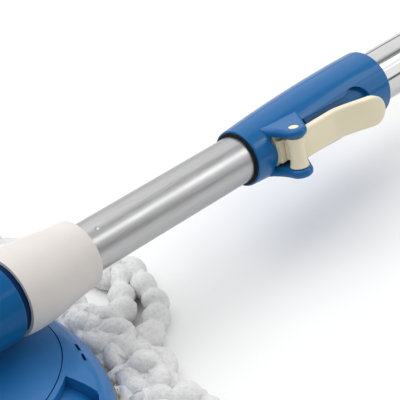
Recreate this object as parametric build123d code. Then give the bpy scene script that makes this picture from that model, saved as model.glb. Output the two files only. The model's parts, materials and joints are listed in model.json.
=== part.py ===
from build123d import *
import os
from math import asin, atan, hypot, pi, radians, sqrt, tan

# A hand-press spin mop lying on the floor, in millimetres. The origin is the centre of the drive socket's
# mouth under the head, +Z is up, and the folded pole runs out along +X until its end rests on the floor.

# ---- mop head -------------------------------------------------------------------------------------------
SOCKET_DROP = 4.0  # floor to the socket's mouth
RIM_HEIGHT = 14.0  # floor to the top of the plate's rim
RIM_RADIUS = 77.0
RIM_EDGE = 2.6  # height of the rim's upright edge
SHOULDER_RADIUS = 62.0
SHOULDER_RISE = 15.2  # rim to the shoulder
CROWN_RISE = 21.7  # rim to the crown of the plate
PLATE_WALL = 2.4
PAD_RAISE = 0.8  # raised pads stand this much over the rim's flank
PAD_RADIUS = 68.5
CAP_LENGTH = 126.8  # oval hub cap, along the pole
CAP_WIDTH = 85.0
CAP_WALL = 2.3
SEAM_GAP = 0.5
POCKET_DEPTH = 5.0
POCKET_NEAR = 8.0  # head's cross axis to the pocket's inner end
POCKET_FAR = 35.5  # head's cross axis to where the outer end would meet the pole's line
POCKET_LEAN = 21.0  # degrees the outer end leans out
POCKET_RADIUS = 69.0
POCKET_MARGIN = 2.6  # pocket to cap seam
DRAIN_WIDTH = 3.0
DRAIN_LENGTH = 11.0
SNAP_LENGTH = 4.4  # snap windows beside the pads
SNAP_WIDTH = 1.3
SNAP_RADIUS = 67.2
SNAP_ANGLES = (18.0, 23.4)  # degrees from the pole's direction
BOSS_RADIUS = 19.5
RIB_COUNT = 8
RIB_WIDTH = 2.2
SLEEVE_RADIUS = 9.0
SOCKET_RADIUS = 6.25
SOCKET_DEPTH = 16.0

# ---- yarn -----------------------------------------------------------------------------------------------
RING_INNER = 50.0  # snap ring that carries the yarn
RING_WIDTH = 8.5
RING_HEIGHT = 5.5
RING_Z = 3.0  # above the socket's mouth
BAND_OUTER = 78.3
BAND_HEIGHT = 2.6
BAND_GAP = 0.3
YARN_COUNT = 8
YARN_REACH = 133.0
YARN_ROOT = 60.0
YARN_THICKNESS = 13.5  # where it lies free outside the rim
YARN_CLEARANCE = 2.0

# ---- tilting joint --------------------------------------------------------------------------------------
PIVOT_RISE = 42.0  # rim to the hinge pin
LUG_RADIUS = 9.5
LUG_WIDTH = 14.0
LUG_CLEARANCE = 0.35
PIN_RADIUS = 3.0
PIN_CLEARANCE = 0.05
YOKE_LENGTH = 34.0
YOKE_WIDTH = 28.0
YOKE_FLANGE = 3.2
SCREW_SPACING_X = 26.0
SCREW_SPACING_Y = 19.0
SCREW_RADIUS = 1.75
SCREW_HEAD_RADIUS = 3.2
SCREW_HEAD_HEIGHT = 1.8
SCREW_LENGTH = 14.0
BARREL_RADIUS = 17.5
BARREL_END_RADIUS = 15.5
BARREL_LENGTH = 42.7  # hinge pin to the barrel's shoulder
NECK_RADIUS = 15.9
NECK_LENGTH = 2.9
TUBE_SEAT = 20.0  # hinge pin to the foot of the lower tube
SLOT_DEPTH = 13.0

# ---- collar and lower tube ------------------------------------------------------------------------------
COLLAR_LENGTH = 39.7
COLLAR_FOOT_RADIUS = 17.4
COLLAR_BELLY_RADIUS = 17.7
COLLAR_WAIST_RADIUS = 15.6
COLLAR_TIP_RADIUS = 15.1
COLLAR_NOSE = 0.7
LOWER_RADIUS = 11.0
LOWER_WALL = 0.6
LOWER_LENGTH = 530.0
DIMPLE_RADIUS = 1.5
DIMPLE_DEPTH = 0.35
DIMPLE_OFFSET = 7.8  # past the collar
DIMPLE_ANGLE = 16.0  # degrees round from the top, towards the lever's side
SLIDE_FIT = 0.1  # radial running clearance between tubes and bushes

# ---- one-way clutch -------------------------------------------------------------------------------------
CLUTCH_LENGTH = 27.0
CLUTCH_FLANGE = 2.0
CLUTCH_CAP_HEIGHT = 3.5
NUT_RADIUS = 6.6
NUT_LENGTH = 20.0
NUT_FIT = 0.06
ROLLER_COUNT = 5
ROLLER_RADIUS = 1.2
ROLLER_LENGTH = 14.0
BUSH_LENGTH = 26.0

# ---- twisted spindle ------------------------------------------------------------------------------------
BAR_WIDTH = 8.0
BAR_THICKNESS = 3.0
BAR_LEAD = 120.0  # travel for one full turn
BAR_FIT = 0.15
BAR_FOOT = 262.0  # hinge pin to the foot of the twisted length, with the mop pushed together
BAR_LENGTH = 384.0
ROD_RADIUS = 4.0
STOP_RADIUS = 9.4
STOP_HEIGHT = 6.0
PLUG_LENGTH = 25.0
PLUG_PLACE = 760.0

# ---- lock housing ---------------------------------------------------------------------------------------
MOUTH_PLACE = 182.0  # hinge pin to the housing's mouth, with the mop pushed together
HOUSING_LENGTH = 88.8
MOUTH_RADIUS = 13.3
MIDDLE_RADIUS = 15.8
FAR_RADIUS = 16.2
LIP = 0.7
BORE_RADIUS = 12.0
TUBE_STOP = 45.0  # mouth to the foot of the upper tube
WIPER_RADIUS = 12.4
WIPER_LENGTH = 5.0
WIPER_PROUD = 0.7
WINDOW_START = 9.0
WINDOW_STOP = 33.0
WINDOW_HALF_WIDTH = 7.5
WINDOW_BOW = 2.2  # the window's front edge bulges towards the lever
RECESS_RADIUS = 13.8  # pole axis to the floor of the recess under the lever
RECESS_HALF_WIDTH = 8.1
RECESS_START = 27.0
RECESS_END = 74.4
SCOOP_RADIUS = 9.6  # round end of the recess, for a fingertip
SCOOP_BLEND = 5.0
EAR_THICKNESS = 4.2
EAR_TIP_RADIUS = 5.7
EAR_FOOT_START = 9.3
EAR_FOOT_END = 31.0
EAR_ROUND = 1.9
LEVER_PIN_ALONG = 17.2  # mouth to the lever's pin
LEVER_PIN_OUT = 20.3  # pole axis to the lever's pin
TRUNNION_RADIUS = 2.4
TRUNNION_FIT = 0.06
LOCK_ROLL = 16.5  # degrees the lever looks up from level

# ---- lever and shoe -------------------------------------------------------------------------------------
LEVER_WIDTH = 14.2
LEVER_THICKNESS = 3.7
LEVER_EDGE = 1.2
LEVER_FACE_OUT = 19.3  # pole axis to the lever's outer face
LEVER_BEND_START = 46.0
LEVER_BEND_SLOPE = 0.3
LEVER_BEND_EASE = 2.5  # length of the soft bend to each side
LEVER_FLARE_OUT = 27.6
LEVER_END = 71.2
KNUCKLE_RADIUS = 4.3
KNUCKLE_WAIST = 3.4
CAM_RADIUS = 5.7
CAM_WIDTH = 9.5
CAM_HEEL = 1.6
SHOE_LENGTH = 15.0
SHOE_START = 12.2
SHOE_HALF_WIDTH = 7.1
SHOE_RADIUS = 13.3
SHOE_PAD_LENGTH = 9.0
CAM_GAP = 0.12  # pole side of the cam to the shoe's pad
SHOE_GAP = 0.03

# ---- upper tube and handle ------------------------------------------------------------------------------
UPPER_RADIUS = 12.7
UPPER_WALL = 0.7
UPPER_END = 864.0
GRIP_START = 705.0
GRIP_RADIUS = 15.2
GRIP_GROOVE = 0.9
GRIP_GROOVES = 6
END_CAP_LENGTH = 40.0
END_CAP_COLLAR = 10.0  # its round part, before the flat tab
END_CAP_SPIGOT = 28.0
END_CAP_RADIUS = 15.5
TAB_THICKNESS = 13.0
HANG_RADIUS = 5.0
HOUSING_SCREW_PLACE = 79.0

# ---- sizes that follow from those above -----------------------------------------------------------------
FLOOR = -SOCKET_DROP
RIM_Z = FLOOR + RIM_HEIGHT
PIVOT_Z = RIM_Z + PIVOT_RISE
POLE_END = UPPER_END + END_CAP_LENGTH
REST_LENGTH = UPPER_END + END_CAP_COLLAR
REACH = hypot(REST_LENGTH, END_CAP_RADIUS)
LAY_ANGLE = (asin((PIVOT_Z - FLOOR) / REACH) - atan(END_CAP_RADIUS / REST_LENGTH)) * 180 / pi
BOTTOM = (Align.CENTER, Align.CENTER, Align.MIN)
FROM_START = (Align.MIN, Align.CENTER, Align.CENTER)
COLLAR_START = BARREL_LENGTH + NECK_LENGTH
COLLAR_END = COLLAR_START + COLLAR_LENGTH
LOWER_END = TUBE_SEAT + LOWER_LENGTH
LOWER_BORE = LOWER_RADIUS - LOWER_WALL
UPPER_BORE = UPPER_RADIUS - UPPER_WALL
CLUTCH_START = LOWER_END - CLUTCH_LENGTH
NUT_BORE = NUT_RADIUS + NUT_FIT
BAR_HOLE = hypot(BAR_WIDTH, BAR_THICKNESS) / 2 + BAR_FIT
NUT_START = LOWER_END - NUT_LENGTH - NUT_FIT * 10
SPINDLE_END = PLUG_PLACE + PLUG_LENGTH
YOKE_FOOT_Z = RIM_Z + CROWN_RISE + PAD_RAISE - CAP_WALL - 0.1
EAR_INNER = WINDOW_HALF_WIDTH
SCREW_SEAT = UPPER_RADIUS + 1.6
FAR = 400.0

nodes = {}


def keep(name, *shapes):
    """Files one node made of one or more separate solids."""
    solids = [solid for shape in shapes for solid in shape.solids()]
    nodes[name] = solids[0] if len(solids) == 1 else Compound(children=solids)


def rod(radius, start, end):
    """A cylinder along the pole from start to end."""
    return Pos((start + end) / 2, 0, 0) * Rot(0, 90, 0) * Cylinder(radius, end - start)


def sleeve(outer, inner, start, end):
    """A round tube along the pole."""
    return rod(outer, start, end) - rod(inner, start - 1, end + 1)


def closed(*lines):
    """The face inside a closed run of lines and arcs."""
    return make_face(Wire([edge for line in lines for edge in line.edges()]))


def turned(*lines):
    """A solid turned about the pole's axis from its outline in the XY plane."""
    return revolve(closed(*lines), Axis.X)


def on_pole(shape):
    """Puts a piece built along X on the folded pole."""
    return shape.moved(Pos(0, 0, PIVOT_Z) * Rot(0, LAY_ANGLE, 0))


def in_lock(shape):
    """Turns a piece of the lock, built from the mouth with +Y out at the lever, to its place."""
    return shape.moved(Pos(MOUTH_PLACE, 0, 0) * Rot(180 - LOCK_ROLL, 0, 0))


def on_lock(shape):
    """Puts a piece of the lock on the folded pole."""
    return on_pole(in_lock(shape))


# ---- mop head -------------------------------------------------------------------------------------------
def dome(rise, foot):
    """The space under the plate's crown, offset outwards by rise, down to the height foot."""
    slope = 2 * (CROWN_RISE - SHOULDER_RISE) / SHOULDER_RADIUS
    length = hypot(1, slope)
    inward = (-slope / length, -1 / length)
    span = (RIM_RADIUS - SHOULDER_RADIUS, -SHOULDER_RISE)
    radius = (span[0] ** 2 + span[1] ** 2) / (2 * (span[0] * inward[0] + span[1] * inward[1]))
    centre_r = SHOULDER_RADIUS + radius * inward[0]
    centre_z = RIM_Z + SHOULDER_RISE + radius * inward[1]
    outer = radius + rise
    shoulder = (centre_r - outer * inward[0], 0, centre_z - outer * inward[1])
    rim_r = centre_r + sqrt(outer**2 - (RIM_Z - centre_z) ** 2)
    bisector = (-inward[0] + 1, -inward[1])
    size = hypot(*bisector)
    middle = (centre_r + outer * bisector[0] / size, 0, centre_z + outer * bisector[1] / size)
    crown = (0, 0, RIM_Z + CROWN_RISE + rise)
    quarter = RIM_Z + CROWN_RISE + rise - (crown[2] - shoulder[2]) / 4
    section = closed(
        ThreePointArc(crown, (shoulder[0] / 2, 0, quarter), shoulder),
        ThreePointArc(shoulder, middle, (rim_r, 0, RIM_Z)),
        Polyline((rim_r, 0, RIM_Z), (rim_r, 0, foot), (0, 0, foot), crown),
    )
    return revolve(section, Axis.Z)


def oval_prism(margin):
    """An upright prism on the cap's oval, grown by margin."""
    return extrude(Ellipse(CAP_LENGTH / 2 + margin, CAP_WIDTH / 2 + margin), FAR / 2, both=True)


def pocket_sketch(grow):
    """One recess between the cap and the rim, in plan, grown by grow on every side."""
    inner = Ellipse(CAP_LENGTH / 2 + POCKET_MARGIN - grow, CAP_WIDTH / 2 + POCKET_MARGIN - grow)
    lean = RIM_RADIUS * tan(radians(POCKET_LEAN))
    corners = [(POCKET_NEAR, 0), (POCKET_FAR, 0), (POCKET_FAR + lean, RIM_RADIUS), (POCKET_NEAR, RIM_RADIUS)]
    wedge = Polygon(*corners, align=None)
    if grow:
        wedge = offset(wedge, grow)
    return (Circle(POCKET_RADIUS + grow) - inner) & wedge


def mirrored_four(shape):
    """The piece and its copies across the X and Y axes."""
    pair = [shape, mirror(shape, Plane.XZ)]
    return pair + [mirror(one, Plane.YZ) for one in pair]


def yoke_screw_places():
    x = SCREW_SPACING_X / 2
    y = SCREW_SPACING_Y / 2
    return [(-x, -y), (-x, y), (x, -y), (x, y)]


def make_underside():
    """The ribs and the ring wall inside the plate, up into its shell, with room for the drive hub."""
    foot = RIM_Z - RIM_EDGE
    above = FAR / 4
    under = Pos(0, 0, foot + above) * (Cylinder(RING_INNER - 0.4, 2 * above) - Cylinder(RING_INNER - 2.6, FAR))
    for i in range(RIB_COUNT):
        rib = Pos(RING_INNER / 2, 0, foot + above) * Box(RING_INNER - 1, RIB_WIDTH, 2 * above)
        under += Rot(0, 0, 360 / RIB_COUNT * (i + 0.5)) * rib
    under -= Cylinder(BOSS_RADIUS, FAR)
    return under & dome(-PLATE_WALL / 2, -1)


def screw_shafts():
    """The room that the yoke's four screws take."""
    foot = YOKE_FOOT_Z + YOKE_FLANGE - SCREW_HEAD_HEIGHT - SCREW_LENGTH
    return [Pos(x, y, foot + FAR / 4) * Cylinder(SCREW_RADIUS, FAR / 2) for x, y in yoke_screw_places()]


def make_drive_hub():
    """The round boss under the plate that holds the drive socket and takes the yoke's screws."""
    hub = Pos(0, 0, FAR / 4) * Cylinder(BOSS_RADIUS, FAR / 2)
    hub &= dome(-PLATE_WALL - CAP_WALL, -1)
    hub -= Pos(0, 0, SOCKET_DEPTH / 2 - 1) * Cylinder(SLEEVE_RADIUS, SOCKET_DEPTH + 2)
    for shaft in screw_shafts():
        hub -= shaft
    return hub


def make_mop_plate():
    foot = RIM_Z - RIM_EDGE
    plate = dome(0, foot) + (dome(PAD_RAISE, foot) & Pos(0, 0, RIM_Z) * Cylinder(PAD_RADIUS, FAR))
    hollow = dome(-PLATE_WALL, foot - 1) - oval_prism(SEAM_GAP + PLATE_WALL)
    hollow += dome(-PLATE_WALL - CAP_WALL, foot - 1)
    plate -= hollow
    plate += make_underside()
    plate -= oval_prism(SEAM_GAP) - dome(PAD_RAISE - CAP_WALL - 0.1, -FAR / 4)
    tub = extrude(pocket_sketch(PLATE_WALL), FAR / 2, both=True) & dome(0, foot)
    tub -= dome(-POCKET_DEPTH - PLATE_WALL, foot - 1)
    pocket = extrude(pocket_sketch(0), FAR / 2, both=True) - dome(-POCKET_DEPTH, foot - 2)
    middle = (POCKET_NEAR + POCKET_FAR) / 2
    slot = Pos(middle, sqrt(POCKET_RADIUS**2 - middle**2) - 2 * DRAIN_WIDTH)
    drain = extrude(slot * SlotOverall(DRAIN_LENGTH, DRAIN_WIDTH), FAR / 2, both=True)
    for one in mirrored_four(tub):
        plate += one
    for one in mirrored_four(pocket):
        plate -= one
    for one in mirrored_four(drain):
        plate -= one & Pos(0, 0, RIM_Z) * Cylinder(RIM_RADIUS, FAR)
    window = Pos(SNAP_RADIUS, 0, RIM_Z) * Box(SNAP_WIDTH, SNAP_LENGTH, FAR / 4)
    for angle in SNAP_ANGLES:
        for one in mirrored_four(Rot(0, 0, angle) * window):
            plate -= one
    for shaft in screw_shafts():
        plate -= shaft
    return plate


def make_hub_cap():
    foot = RIM_Z - RIM_EDGE
    cap = dome(PAD_RAISE, foot) - dome(PAD_RAISE - CAP_WALL, foot - 1)
    cap &= oval_prism(0)
    return cap - Box(YOKE_LENGTH + SEAM_GAP, YOKE_WIDTH + SEAM_GAP, FAR)


def make_socket_sleeve():
    sleeve_body = Cylinder(SLEEVE_RADIUS, SOCKET_DEPTH) - Cylinder(SOCKET_RADIUS, FAR)
    return Pos(0, 0, SOCKET_DEPTH / 2) * sleeve_body


def make_yoke():
    top = YOKE_FOOT_Z + YOKE_FLANGE
    base = Pos(0, 0, top - YOKE_FLANGE) * Box(YOKE_LENGTH, YOKE_WIDTH, 2 * YOKE_FLANGE)
    base = fillet(base.edges().filter_by(Axis.Z), 3)
    base -= dome(PAD_RAISE - CAP_WALL - 0.1, 0)
    stem = Pos(0, 0, top - 1) * Box(2 * LUG_RADIUS, LUG_WIDTH, PIVOT_Z - top + 1, align=BOTTOM)
    lug = Pos(0, 0, PIVOT_Z) * Rot(90, 0, 0) * Cylinder(LUG_RADIUS, LUG_WIDTH)
    yoke = base + stem + lug
    yoke -= Pos(0, 0, PIVOT_Z) * Rot(90, 0, 0) * Cylinder(PIN_RADIUS + PIN_CLEARANCE, FAR)
    for x, y in yoke_screw_places():
        yoke -= Pos(x, y, YOKE_FOOT_Z) * Cylinder(SCREW_RADIUS, 3 * YOKE_FLANGE)
        yoke -= Pos(x, y, top) * Cylinder(SCREW_HEAD_RADIUS + 0.1, 2 * SCREW_HEAD_HEIGHT)
    return yoke


def make_yoke_screws():
    top = YOKE_FOOT_Z + YOKE_FLANGE
    head = Pos(0, 0, top - SCREW_HEAD_HEIGHT / 2) * Cylinder(SCREW_HEAD_RADIUS, SCREW_HEAD_HEIGHT)
    shank = Pos(0, 0, top - SCREW_HEAD_HEIGHT - SCREW_LENGTH / 2) * Cylinder(SCREW_RADIUS, SCREW_LENGTH)
    return [Pos(x, y, 0) * (head + shank) for x, y in yoke_screw_places()]


def ring(outer, inner, low, high):
    """An upright ring about the head's axis."""
    return Pos(0, 0, (low + high) / 2) * (Cylinder(outer, high - low) - Cylinder(inner, high - low + 2))


def make_snap_ring():
    return ring(RING_INNER + RING_WIDTH, RING_INNER, RING_Z, RING_Z + RING_HEIGHT)


def make_stitched_band():
    top = RIM_Z - RIM_EDGE - BAND_GAP
    return ring(BAND_OUTER, RING_INNER + RING_WIDTH, top - BAND_HEIGHT, top)


def make_yarn_bundle(index):
    """One bundle of yarn loops, flat under the band and full outside the rim."""
    low = RIM_Z - RIM_EDGE - BAND_GAP - BAND_HEIGHT
    high = FLOOR + YARN_THICKNESS
    outside = RIM_RADIUS + YARN_CLEARANCE
    swell = high - low
    edge = YARN_THICKNESS / 2
    outline = [
        (YARN_ROOT, 0, FLOOR),
        (YARN_REACH - edge / 2, 0, FLOOR),
        (YARN_REACH, 0, FLOOR + edge / 2),
        (YARN_REACH, 0, FLOOR + edge),
        (YARN_REACH - edge, 0, high),
        (outside + swell, 0, high),
        (outside, 0, low),
        (YARN_ROOT, 0, low),
    ]
    face = make_face(Polyline(*outline, close=True))
    gap = 2 * YARN_CLEARANCE / YARN_ROOT * 180 / pi / 2
    span = 360 / YARN_COUNT
    bundle = revolve(Rot(0, 0, gap / 2) * face, Axis.Z, span - gap)
    return Rot(0, 0, span * (index - 0.5)) * bundle


# ---- tilting joint, collar and lower tube ---------------------------------------------------------------
def make_joint_barrel():
    body = rod(BARREL_RADIUS, -BARREL_END_RADIUS, BARREL_LENGTH)
    body = fillet(body.edges().sort_by(Axis.X)[-1], 1.2)
    end = Rot(90, 0, 0) * Cylinder(BARREL_END_RADIUS, 2 * BARREL_RADIUS)
    end += Pos(BARREL_LENGTH / 2, 0, 0) * Box(BARREL_LENGTH, 2 * BARREL_RADIUS, 2 * BARREL_RADIUS)
    body &= end
    body += rod(NECK_RADIUS, BARREL_LENGTH - 1, BARREL_LENGTH + NECK_LENGTH)
    slot = LUG_WIDTH + 2 * LUG_CLEARANCE
    body -= Pos(SLOT_DEPTH - FAR / 2, 0, 0) * Box(FAR, slot, FAR)
    body -= Rot(90, 0, 0) * Cylinder(PIN_RADIUS, FAR)
    return body - rod(LOWER_RADIUS, TUBE_SEAT, COLLAR_START + 1)


def make_hinge_pin():
    """The pin stands just inside the barrel's round sides."""
    return Rot(90, 0, 0) * Cylinder(PIN_RADIUS, 2 * (BARREL_RADIUS - PIN_CLEARANCE * 10))


def make_tube_collar():
    belly = COLLAR_START + 0.4 * COLLAR_LENGTH
    waist = COLLAR_START + 0.8 * COLLAR_LENGTH
    nose = COLLAR_NOSE
    bore = LOWER_RADIUS
    return turned(
        Spline(
            (COLLAR_START, COLLAR_FOOT_RADIUS),
            (belly, COLLAR_BELLY_RADIUS),
            (waist, COLLAR_WAIST_RADIUS),
            (COLLAR_END - nose, COLLAR_TIP_RADIUS),
        ),
        RadiusArc((COLLAR_END - nose, COLLAR_TIP_RADIUS), (COLLAR_END, COLLAR_TIP_RADIUS - nose), nose),
        Polyline(
            (COLLAR_END, COLLAR_TIP_RADIUS - nose),
            (COLLAR_END, bore),
            (COLLAR_START, bore),
            (COLLAR_START, COLLAR_FOOT_RADIUS),
        ),
    )


def make_lower_tube():
    tube = sleeve(LOWER_RADIUS, LOWER_BORE, TUBE_SEAT, LOWER_END)
    dimple = Pos(COLLAR_END + DIMPLE_OFFSET, 0, LOWER_RADIUS + DIMPLE_RADIUS - DIMPLE_DEPTH)
    return tube - Rot(DIMPLE_ANGLE, 0, 0) * dimple * Sphere(DIMPLE_RADIUS)


# ---- one-way clutch -------------------------------------------------------------------------------------
def roller_places():
    out = NUT_RADIUS + ROLLER_RADIUS + NUT_FIT
    return [Rot(360 / ROLLER_COUNT * i, 0, 0) * Pos(0, 0, out) for i in range(ROLLER_COUNT)]


def make_clutch_body():
    body = rod(LOWER_BORE, CLUTCH_START, LOWER_END)
    body += rod(LOWER_RADIUS, LOWER_END, LOWER_END + CLUTCH_FLANGE)
    body -= rod(NUT_BORE, NUT_START - NUT_FIT, LOWER_END + CLUTCH_FLANGE + 1)
    body -= rod(BAR_HOLE, CLUTCH_START - 1, LOWER_END)
    start = NUT_START + (NUT_LENGTH - ROLLER_LENGTH) / 2
    for place in roller_places():
        body -= place * rod(ROLLER_RADIUS + BAR_FIT, start - BAR_FIT, start + ROLLER_LENGTH + BAR_FIT)
    return body


def make_clutch_rollers():
    start = NUT_START + (NUT_LENGTH - ROLLER_LENGTH) / 2
    return [place * rod(ROLLER_RADIUS, start, start + ROLLER_LENGTH) for place in roller_places()]


def make_clutch_cap():
    start = LOWER_END + CLUTCH_FLANGE
    return sleeve(LOWER_RADIUS, BAR_HOLE, start, start + CLUTCH_CAP_HEIGHT)


def make_guide_bush():
    start = LOWER_END - BUSH_LENGTH - CLUTCH_FLANGE
    return sleeve(UPPER_BORE - SLIDE_FIT, LOWER_RADIUS, start, start + BUSH_LENGTH)


# ---- twisted spindle ------------------------------------------------------------------------------------
def twisted_bar(width, thickness, start, end):
    """The flat bar's shape between two places along the pole, in step with the whole twist."""
    turn = 360 / BAR_LEAD
    section = Rot(0, 90, 0) * Rectangle(thickness, width)
    section = Pos(start, 0, 0) * Rot(turn * (start - BAR_FOOT), 0, 0) * section
    length = end - start
    return Solid.extrude_linear_with_rotation(section.face(), (start, 0, 0), (length, 0, 0), turn * length)


def make_twisted_spindle():
    bar_end = BAR_FOOT + BAR_LENGTH
    bar = twisted_bar(BAR_WIDTH, BAR_THICKNESS, BAR_FOOT, bar_end)
    foot = rod(BAR_THICKNESS / 2, BAR_FOOT - STOP_HEIGHT, BAR_FOOT)
    return rod(ROD_RADIUS, bar_end, SPINDLE_END) + bar + foot


def make_spindle_stop():
    return sleeve(STOP_RADIUS, BAR_THICKNESS / 2, BAR_FOOT - STOP_HEIGHT, BAR_FOOT)


def make_spindle_plug():
    return sleeve(UPPER_BORE, ROD_RADIUS, PLUG_PLACE, SPINDLE_END)


def make_drive_nut():
    """The nut's slot follows the bar's twist."""
    nut = rod(NUT_RADIUS, NUT_START, NUT_START + NUT_LENGTH)
    width = BAR_WIDTH + 2 * BAR_FIT
    thickness = BAR_THICKNESS + 2 * BAR_FIT
    return nut - twisted_bar(width, thickness, NUT_START - 1, NUT_START + NUT_LENGTH + 1)


# ---- lock housing, lever and shoe: +Y points out at the lever -------------------------------------------
def housing_radius_points():
    return (LIP, MOUTH_RADIUS), (HOUSING_LENGTH / 2, MIDDLE_RADIUS), (HOUSING_LENGTH - LIP, FAR_RADIUS)


def upright(sketch, half_height):
    """A sketch in the pole's plane grown to both sides along the lever's pin."""
    return extrude(sketch, half_height, both=True)


def make_ear(side):
    tip = (LEVER_PIN_ALONG, LEVER_PIN_OUT)
    reach = EAR_TIP_RADIUS
    back = (tip[0] + reach * 0.8, tip[1] + reach * 0.6)
    front = (tip[0] - reach, tip[1])
    root = (EAR_FOOT_START, BORE_RADIUS - 2)
    fin = closed(
        Line((EAR_FOOT_START, BORE_RADIUS / 2), (EAR_FOOT_END, BORE_RADIUS / 2)),
        Line((EAR_FOOT_END, BORE_RADIUS / 2), (EAR_FOOT_END, BORE_RADIUS - 1)),
        Line((EAR_FOOT_END, BORE_RADIUS - 1), back),
        ThreePointArc(back, (tip[0] - reach * 0.32, tip[1] + reach * 0.95), front),
        Spline(front, (tip[0] - reach * 1.1, tip[1] - reach), root, tangents=[(0, -1), (-1, -2)]),
        Line(root, (EAR_FOOT_START, BORE_RADIUS / 2)),
    )
    ear = extrude(fin, EAR_THICKNESS)
    rims = [edge for edge in ear.edges() if edge.center().Y > BORE_RADIUS and edge.length > EAR_THICKNESS * 1.1]
    ear = fillet(rims, EAR_ROUND)
    ear = Pos(0, 0, EAR_INNER) * ear
    return ear if side > 0 else mirror(ear, Plane.XY)


def make_lock_housing():
    start, middle, end = housing_radius_points()
    shell = turned(
        Line((0, 0), (0, start[1] - LIP)),
        RadiusArc((0, start[1] - LIP), start, LIP),
        Spline(start, middle, end),
        RadiusArc(end, (HOUSING_LENGTH, end[1] - LIP), LIP),
        Line((HOUSING_LENGTH, end[1] - LIP), (HOUSING_LENGTH, 0)),
        Line((HOUSING_LENGTH, 0), (0, 0)),
    )
    round_end = RECESS_END - SCOOP_RADIUS
    slot = Rectangle(round_end - RECESS_START, 2 * RECESS_HALF_WIDTH, align=FROM_START[:2])
    plan = Pos(RECESS_START, 0) * slot + Pos(round_end, 0) * Circle(SCOOP_RADIUS)
    corners = plan.vertices().filter_by(lambda corner: RECESS_START + 1 < corner.X < round_end)
    plan = fillet(corners, SCOOP_BLEND)
    shell -= Rot(-90, 0, 0) * extrude(plan, FAR / 4) - rod(RECESS_RADIUS, 0, HOUSING_LENGTH)
    shell += make_ear(1) + make_ear(-1)
    shell -= rod(BORE_RADIUS, -1, TUBE_STOP)
    shell -= rod(UPPER_RADIUS, TUBE_STOP, HOUSING_LENGTH + 1)
    shell -= rod(WIPER_RADIUS, -1, WIPER_LENGTH - WIPER_PROUD)
    window = closed(
        ThreePointArc(
            (WINDOW_START, WINDOW_HALF_WIDTH),
            (WINDOW_START + WINDOW_BOW, 0),
            (WINDOW_START, -WINDOW_HALF_WIDTH),
        ),
        Line((WINDOW_START, -WINDOW_HALF_WIDTH), (WINDOW_STOP, -WINDOW_HALF_WIDTH)),
        Line((WINDOW_STOP, -WINDOW_HALF_WIDTH), (WINDOW_STOP, WINDOW_HALF_WIDTH)),
        Line((WINDOW_STOP, WINDOW_HALF_WIDTH), (WINDOW_START, WINDOW_HALF_WIDTH)),
    )
    shell -= Rot(-90, 0, 0) * extrude(window, FAR / 4)
    shell -= Pos(LEVER_PIN_ALONG, LEVER_PIN_OUT, 0) * Cylinder(TRUNNION_RADIUS + TRUNNION_FIT, FAR)
    sink = Pos(HOUSING_SCREW_PLACE, -SCREW_SEAT - FAR / 2, 0) * Rot(90, 0, 0)
    return shell - housing_screw_hole() - sink * Cylinder(SCREW_HEAD_RADIUS + 0.1, FAR)


def housing_screw_hole():
    return Pos(HOUSING_SCREW_PLACE, -UPPER_RADIUS, 0) * Rot(90, 0, 0) * Cylinder(SCREW_RADIUS, UPPER_RADIUS)


def make_housing_screw():
    """A sunk screw through the back of the housing into the upper tube's wall."""
    head = Pos(HOUSING_SCREW_PLACE, -SCREW_SEAT - SCREW_HEAD_HEIGHT / 2, 0) * Rot(90, 0, 0)
    length = SCREW_SEAT - UPPER_BORE + 1
    shank = Pos(HOUSING_SCREW_PLACE, -SCREW_SEAT + length / 2, 0) * Rot(90, 0, 0)
    return head * Cylinder(SCREW_HEAD_RADIUS, SCREW_HEAD_HEIGHT) + shank * Cylinder(SCREW_RADIUS, length)


def make_wiper_ring():
    return sleeve(WIPER_RADIUS, LOWER_RADIUS + SLIDE_FIT, -WIPER_PROUD, WIPER_LENGTH - WIPER_PROUD)


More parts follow.
